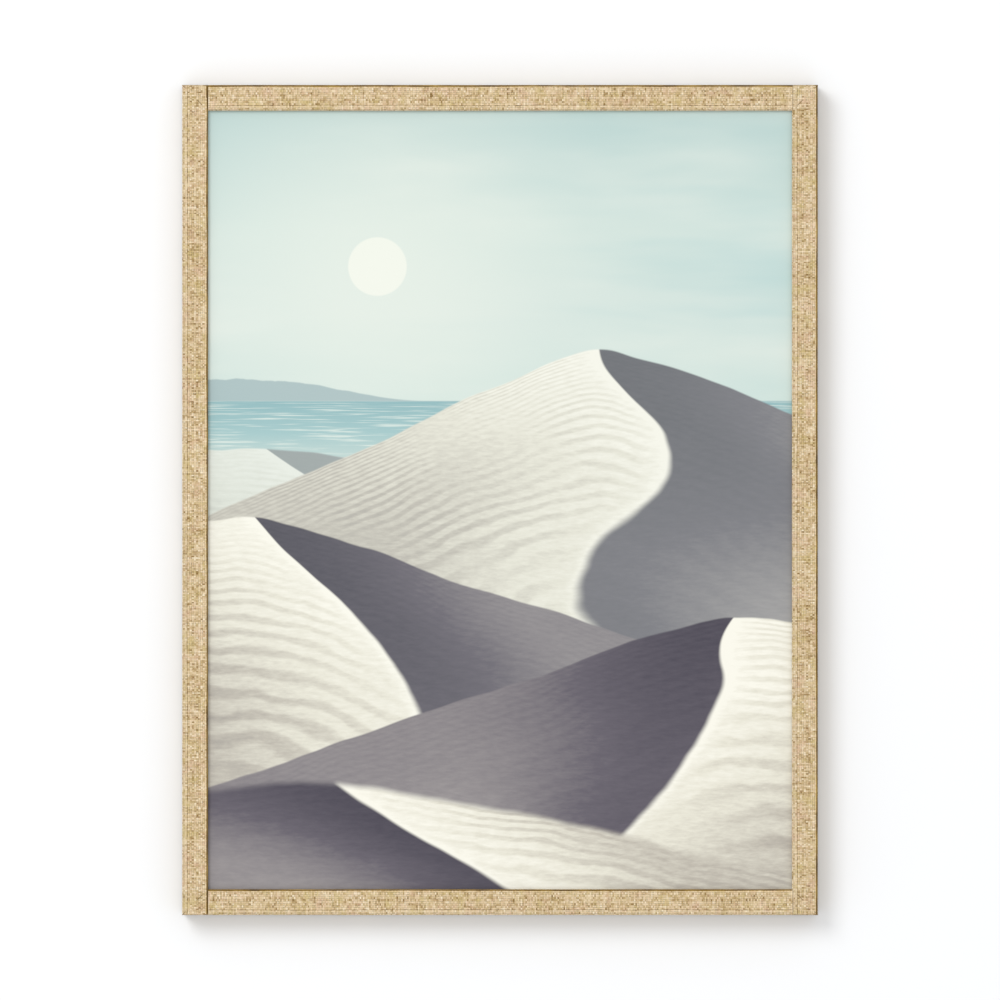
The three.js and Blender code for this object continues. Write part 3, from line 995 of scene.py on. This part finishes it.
def nail_profile(radius, tip, front):
    """From the tip in the wood to the crown: a shank, and a head that is half an ellipse."""
    angle = np.linspace(0, 0.48 * math.pi, 10)
    under = front - NAIL_DOME
    crown = np.stack([radius * np.cos(angle), under + NAIL_DOME * np.sin(angle)], axis=-1)
    shank = [[0.25 * NAIL_SHANK, tip], [NAIL_SHANK, tip + 2 * NAIL_SHANK], [NAIL_SHANK, under]]
    return np.concatenate([shank, crown])


# %% Turned pieces
ROUND_STEPS = 48


def lathe(name, profile, axis_x, axis_z, node):
    """A turned piece about a line along y: (r cos a, y, r sin a) for each (r, y) of the profile."""
    angle = np.linspace(0, -2 * math.pi, ROUND_STEPS, endpoint=False)
    radius, y = profile[:, :1], np.repeat(profile[:, 1:], ROUND_STEPS, axis=1)
    rings = np.stack([axis_x + radius * np.cos(angle), y, axis_z + radius * np.sin(angle)], axis=-1)
    made = mesh_object(name, rings.reshape(-1, 3), closed_rings(rings))
    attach(made, "root")
    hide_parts(node)
    print(made.name, len(made.data.polygons), "faces")
    return made


round_pieces = {"rubber": [], "steel": []}
for node, shape, slot in [
    ("bumper_left", bumper_profile, "rubber"), ("bumper_right", bumper_profile, "rubber"),
    ("hanger_nail_left", nail_profile, "steel"), ("hanger_nail_right", nail_profile, "steel"),
]:
    low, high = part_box(node)
    profile = shape((high.x - low.x) / 2, low.y, high.y)
    piece = lathe(f"{node}_round", profile, (low.x + high.x) / 2, (low.z + high.z) / 2, node)
    round_pieces[slot].append(piece)

# %% [markdown]
# ## Zinc and rubber
#
# The hanger, its nails and the points are thin steel with a bright zinc coat: metal with a cloudy grain and
# fine marks from rolling. The bumpers are soft dark rubber, which is matt and a little dusty.

# %% Zinc and rubber


def zinc():
    """Bright metal, with a cloudy roughness and fine rolled lines."""
    material, tree, shader = new_finish("zinc", 0.35, Metallic=1.0)
    x, y, z = coordinates(tree, "Object")
    cloud = noise(tree, point_at(tree, x * 260.0, y * 260.0, z * 260.0), detail=4.0)
    lines = noise(tree, point_at(tree, x * 90.0, y * 2500.0, z * 2500.0), detail=2.0)
    colour = ramp(tree, cloud, [(0.3, (158, 160, 163)), (0.55, (190, 192, 194)), (0.75, (208, 208, 205))])
    tree.links.new(colour.socket, shader.inputs["Base Color"])
    rough = cloud * 0.25 + lines * 0.15 + 0.18
    tree.links.new(rough.socket, shader.inputs["Roughness"])
    add_bump(tree, shader, lines, 0.00003)
    return material


def rubber():
    """Dark, matt and slightly dusty."""
    material, tree, shader = new_finish("rubber", 0.75, Specular_IOR_Level=0.3)
    x, y, z = coordinates(tree, "Object")
    dust = noise(tree, point_at(tree, x * 700.0, y * 700.0, z * 700.0), detail=4.0)
    colour = ramp(tree, dust, [(0.35, (36, 35, 34)), (0.6, (48, 46, 45)), (0.8, (78, 75, 72))])
    tree.links.new(colour.socket, shader.inputs["Base Color"])
    add_bump(tree, shader, dust, 0.0001)
    return material


zinc_finish = zinc()
dress([name for name in nodes if "point" in name or name == "hanger"], zinc_finish)
for slot, finish in [("steel", zinc_finish), ("rubber", rubber())]:
    for piece in round_pieces[slot]:
        piece.data.materials.append(finish)
    print(finish.name, "on", len(round_pieces[slot]), "turned pieces")

# %% [markdown]
# ## Wall, floor and light
#
# The frame hangs on a white wall and throws a soft shadow, darker to the right and below. A broad lamp at
# the upper left makes that shadow, and the even light of the world fills it. The linen throws a warm light
# on the wall beside it, so the paint is a cool white, which keeps the shadow grey. From behind, the wall
# would hide the frame's back, so it only exists on its front: its back is clear, and it lets the rear lamp
# through. A black sheet close behind the frame, which studios call a flag, keeps the light on the frame's
# back from glowing onto the wall. It is black only towards the wall, and the camera doesn't see it. The
# floor throws no light back, because the world shines from below as well.

# %% Stage
WALL_SIZE = (6.0, 5.0)
FLOOR_SIZE = 30.0
FLOOR_Z = CENTRE_Z - 1.5
COOL_WHITE = (0.82, 0.83, 0.842, 1.0)
PALE_GREY = (0.84, 0.84, 0.84, 1.0)
BLACK = (0.02, 0.02, 0.02, 1.0)
FLAG_GAP = 0.0002


def plain(name, colour, one_sided):
    """A plain matt finish, which is clear from behind if it is one-sided."""
    material, tree, shader = new_finish(name, 0.9, Base_Color=colour, Specular_IOR_Level=0.0)
    if one_sided:
        side = tree.nodes.new("ShaderNodeNewGeometry")
        clear = tree.nodes.new("ShaderNodeBsdfTransparent")
        choice = tree.nodes.new("ShaderNodeMixShader")
        tree.links.new(side.outputs["Backfacing"], choice.inputs[0])
        tree.links.new(shader.outputs[0], choice.inputs[1])
        tree.links.new(clear.outputs[0], choice.inputs[2])
        tree.links.new(choice.outputs[0], tree.nodes["Material Output"].inputs["Surface"])
    return material


def stage_plane(name, corners, material):
    """One flat quad of the stage."""
    made = mesh_object(name, corners, [[0, 1, 2, 3]])
    made.data.materials.append(material)
    return made


half_wall, wall_height = WALL_SIZE[0] / 2, WALL_SIZE[1]
wall = stage_plane("wall", [
    (-half_wall, 0, FLOOR_Z), (half_wall, 0, FLOOR_Z),
    (half_wall, 0, FLOOR_Z + wall_height), (-half_wall, 0, FLOOR_Z + wall_height),
], plain("wall_paint", COOL_WHITE, True))
wall.visible_shadow = wall.visible_diffuse = wall.visible_glossy = False
flag_y = right_high.y + FLAG_GAP
flag = stage_plane("flag", [
    (left_low.x, flag_y, top_high.z), (right_high.x, flag_y, top_high.z),
    (right_high.x, flag_y, bottom_low.z), (left_low.x, flag_y, bottom_low.z),
], plain("flag_cloth", BLACK, True))
flag.visible_shadow = flag.visible_camera = flag.visible_glossy = False
half_floor = FLOOR_SIZE / 2
floor = stage_plane("floor", [
    (-half_floor, -half_floor, FLOOR_Z), (half_floor, -half_floor, FLOOR_Z),
    (half_floor, half_floor, FLOOR_Z), (-half_floor, half_floor, FLOOR_Z),
], plain("floor_paint", PALE_GREY, False))
floor.visible_diffuse = False
print("wall and floor at", round(FLOOR_Z, 3))

# %% Lights
WORLD_STRENGTH = 0.965


def lamp(name, place, size, power):
    """A square soft lamp that faces the middle of the picture."""
    data = bpy.data.lights.new(name, "AREA")
    data.size = size
    data.energy = power
    made = bpy.data.objects.new(name, data)
    made.location = place
    towards = np.array([0, 0, CENTRE_Z]) - np.array(place)
    made.rotation_euler = (
        math.atan2(math.hypot(towards[0], towards[1]), -towards[2]), 0, math.atan2(-towards[0], towards[1]),
    )
    made.visible_camera = False
    bpy.context.scene.collection.objects.link(made)
    return made


world = bpy.data.worlds.new("room")
world.use_nodes = True
world.node_tree.nodes["Background"].inputs["Color"].default_value = (1.0, 1.0, 1.0, 1.0)
world.node_tree.nodes["Background"].inputs["Strength"].default_value = WORLD_STRENGTH
bpy.context.scene.world = world
bpy.context.scene.view_settings.view_transform = "Standard"
lamp("key", (-2.6, -4.4, CENTRE_Z + 2.6), 2.6, 130)
lamp("rear", (0.55, 3.6, CENTRE_Z + 0.75), 1.4, 20)
print("two lamps and a pale world")
